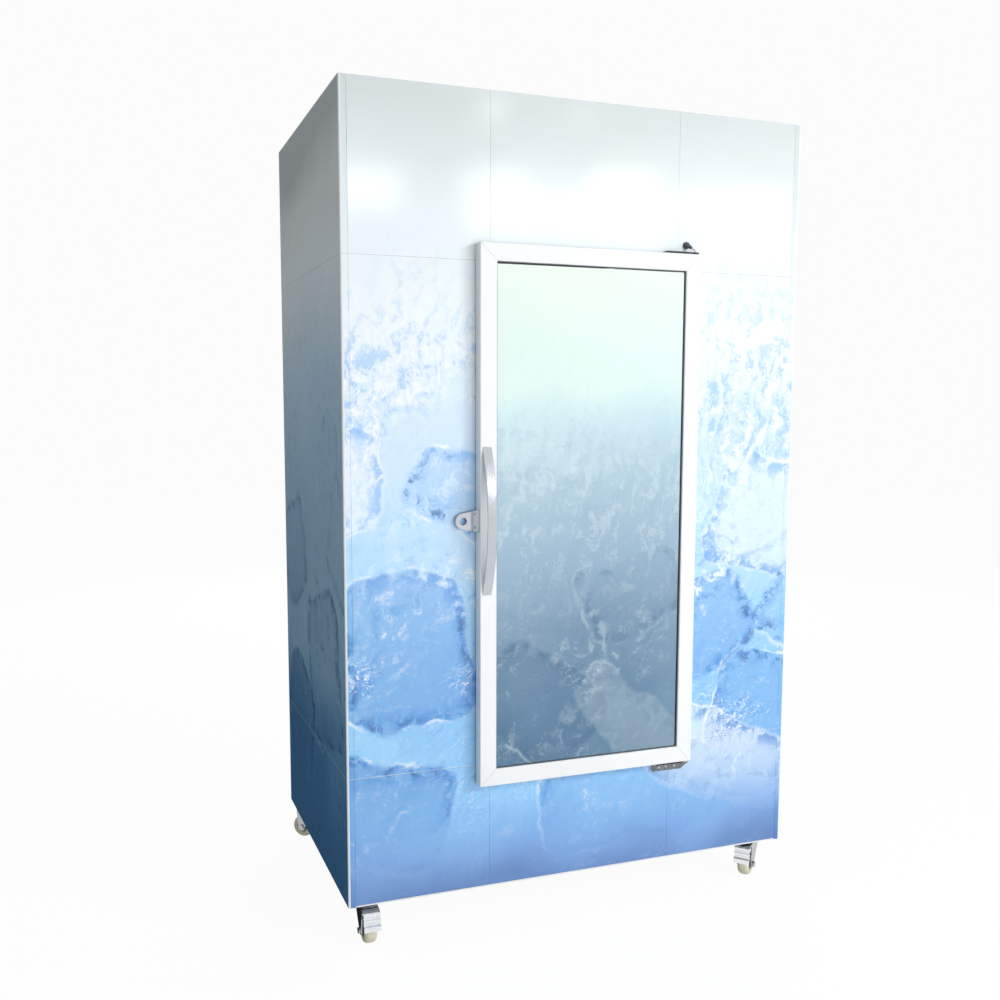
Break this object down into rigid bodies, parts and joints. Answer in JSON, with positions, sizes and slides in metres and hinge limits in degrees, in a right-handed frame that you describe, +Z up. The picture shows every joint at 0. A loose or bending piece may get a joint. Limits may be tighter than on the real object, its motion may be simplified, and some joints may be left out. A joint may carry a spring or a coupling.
{
  "type": "ice merchandiser freezer",
  "caption": "Upright bagged-ice merchandiser freezer with a hinged glass door, bow handle, padlock hasp, top machine room and swivel casters.",
  "frame": {"origin": "centre of the bounding box's footprint, on the floor under the casters", "axes": "+Z up, -Y out of the front with the door, +X to the hinge side of the door"},
  "size_m": [1.22, 0.869, 2.028],
  "materials": {
    "front_film": "gloss",
    "side_film": "gloss",
    "white_steel": "gloss",
    "galvanised": "matte",
    "foam": "matte",
    "liner": "satin",
    "throat": "satin",
    "lamp": "satin",
    "rack": "matte",
    "fin_aluminium": "satin",
    "evaporator_white": "satin",
    "black_paint": "satin",
    "black_plastic": "matte",
    "drain_plastic": "matte",
    "copper": "satin",
    "control_paint": "satin",
    "grey_rubber": "matte",
    "lead_white": "satin",
    "hinge_dark": "satin",
    "zinc": "satin",
    "chrome": "gloss",
    "door_white": "satin",
    "film_glass": "gloss",
    "clear_glass": "gloss",
    "spacer": "satin",
    "black_seal": "matte",
    "gasket_grey": "matte",
    "handle_satin": "satin",
    "bush_plastic": "matte",
    "wheel_cream": "satin",
    "switch_red": "gloss"
  },
  "bodies": {
    "cabinet": {"base_pan": "white_steel", "left_side_panel": "side_film", "right_side_panel": "side_film", "rear_panel": "white_steel", "rear_grille": "white_steel", "top_panel": "white_steel", "front_left_panel": "front_film", "front_right_panel": "front_film", "front_header_panel": "front_film", "front_sill_panel": "front_film", "machine_deck": "galvanised", "cabinet_insulation": "foam", "front_insulation": "foam", "inner_liner": "liner", "door_throat": "throat", "cabinet_lamp": "lamp", "floor_rack": "rack", "evaporator_coil": "fin_aluminium", "evaporator_cover": "evaporator_white", "evaporator_motors": "black_paint", "drain_tube": "drain_plastic", "compressor": "black_paint", "condenser_coil": "fin_aluminium", "fan_shroud": "galvanised", "condenser_motor": "black_paint", "refrigerant_lines": "copper", "control_box": "control_paint", "power_gland": "black_plastic", "cable_gland": "grey_rubber", "heater_lead": "lead_white", "top_hinge": "hinge_dark", "bottom_hinge": "zinc", "lock_keeper": "zinc", "panel_screws": "zinc", "caster_plates": "chrome"},
    "door": {"door_frame": "door_white", "outer_pane": "film_glass", "inner_pane": "clear_glass", "glass_spacer": "spacer", "glazing_seal": "black_seal", "door_gasket": "gasket_grey", "door_handle": "handle_satin", "lock_hasp": "chrome", "hinge_bushes": "bush_plastic"},
    "condenser_rotor": {"condenser_fan": "black_plastic"},
    "evaporator_rotor_left": {"evaporator_fan_left": "black_plastic"},
    "evaporator_rotor_right": {"evaporator_fan_right": "black_plastic"},
    "switch_rocker": {"power_switch": "switch_red"},
    "thermostat": {"thermostat_knob": "black_plastic"},
    "swivel_front_left": {"fork_front_left": "chrome"},
    "roller_front_left": {"wheel_front_left": "wheel_cream"},
    "swivel_front_right": {"fork_front_right": "chrome"},
    "roller_front_right": {"wheel_front_right": "wheel_cream"},
    "swivel_back_left": {"fork_back_left": "chrome"},
    "roller_back_left": {"wheel_back_left": "wheel_cream"},
    "swivel_back_right": {"fork_back_right": "chrome"},
    "roller_back_right": {"wheel_back_right": "wheel_cream"},
    "brake_left": {"brake_pedal_left": "chrome"},
    "brake_right": {"brake_pedal_right": "chrome"}
  },
  "joints": [
    {"name": "door_hinge", "type": "hinge", "parent": "cabinet", "child": "door", "pos_m": [0.287, -0.3825, 0.379], "axis": [0, 0, 1], "range_deg": [0, 110]},
    {"name": "condenser_fan_spin", "type": "hinge", "parent": "cabinet", "child": "condenser_rotor", "pos_m": [0.24, 0.2805, 1.868], "axis": [0, 1, 0], "continuous": true},
    {"name": "evaporator_fan_left_spin", "type": "hinge", "parent": "cabinet", "child": "evaporator_rotor_left", "pos_m": [-0.161, 0.1205, 1.5727], "axis": [0, 1, 0], "continuous": true},
    {"name": "evaporator_fan_right_spin", "type": "hinge", "parent": "cabinet", "child": "evaporator_rotor_right", "pos_m": [0.161, 0.1205, 1.5727], "axis": [0, 1, 0], "continuous": true},
    {"name": "switch_rock", "type": "hinge", "parent": "cabinet", "child": "switch_rocker", "pos_m": [-0.455, 0.4185, 1.922], "axis": [-1, 0, 0], "range_deg": [0, 16]},
    {"name": "thermostat_turn", "type": "hinge", "parent": "cabinet", "child": "thermostat", "pos_m": [-0.455, 0.4255, 1.872], "axis": [0, -1, 0], "range_deg": [0, 270]},
    {"name": "swivel_front_left_turn", "type": "hinge", "parent": "cabinet", "child": "swivel_front_left", "pos_m": [-0.554, -0.2975, 0.088], "axis": [0, 0, 1], "continuous": true},
    {"name": "wheel_front_left_roll", "type": "hinge", "parent": "swivel_front_left", "child": "roller_front_left", "pos_m": [-0.554, -0.3255, 0.0325], "axis": [1, 0, 0], "continuous": true},
    {"name": "swivel_front_right_turn", "type": "hinge", "parent": "cabinet", "child": "swivel_front_right", "pos_m": [0.554, -0.2975, 0.088], "axis": [0, 0, 1], "continuous": true},
    {"name": "wheel_front_right_roll", "type": "hinge", "parent": "swivel_front_right", "child": "roller_front_right", "pos_m": [0.53255, -0.3155, 0.0325], "axis": [0.6428, -0.766, 0], "continuous": true},
    {"name": "swivel_back_left_turn", "type": "hinge", "parent": "cabinet", "child": "swivel_back_left", "pos_m": [-0.554, 0.3665, 0.088], "axis": [0, 0, 1], "continuous": true},
    {"name": "wheel_back_left_roll", "type": "hinge", "parent": "swivel_back_left", "child": "roller_back_left", "pos_m": [-0.57545, 0.3845, 0.0325], "axis": [-0.6428, -0.766, 0], "continuous": true},
    {"name": "swivel_back_right_turn", "type": "hinge", "parent": "cabinet", "child": "swivel_back_right", "pos_m": [0.554, 0.3665, 0.088], "axis": [0, 0, 1], "continuous": true},
    {"name": "wheel_back_right_roll", "type": "hinge", "parent": "swivel_back_right", "child": "roller_back_right", "pos_m": [0.57694, 0.38256, 0.0325], "axis": [-0.5736, 0.8192, 0], "continuous": true},
    {"name": "brake_left_press", "type": "hinge", "parent": "swivel_front_left", "child": "brake_left", "pos_m": [-0.554, -0.3335, 0.0847], "axis": [1, 0, 0], "range_deg": [0, 6]},
    {"name": "brake_right_press", "type": "hinge", "parent": "swivel_front_right", "child": "brake_right", "pos_m": [0.52642, -0.32064, 0.0847], "axis": [0.6428, -0.766, 0], "range_deg": [0, 6]}
  ]
}
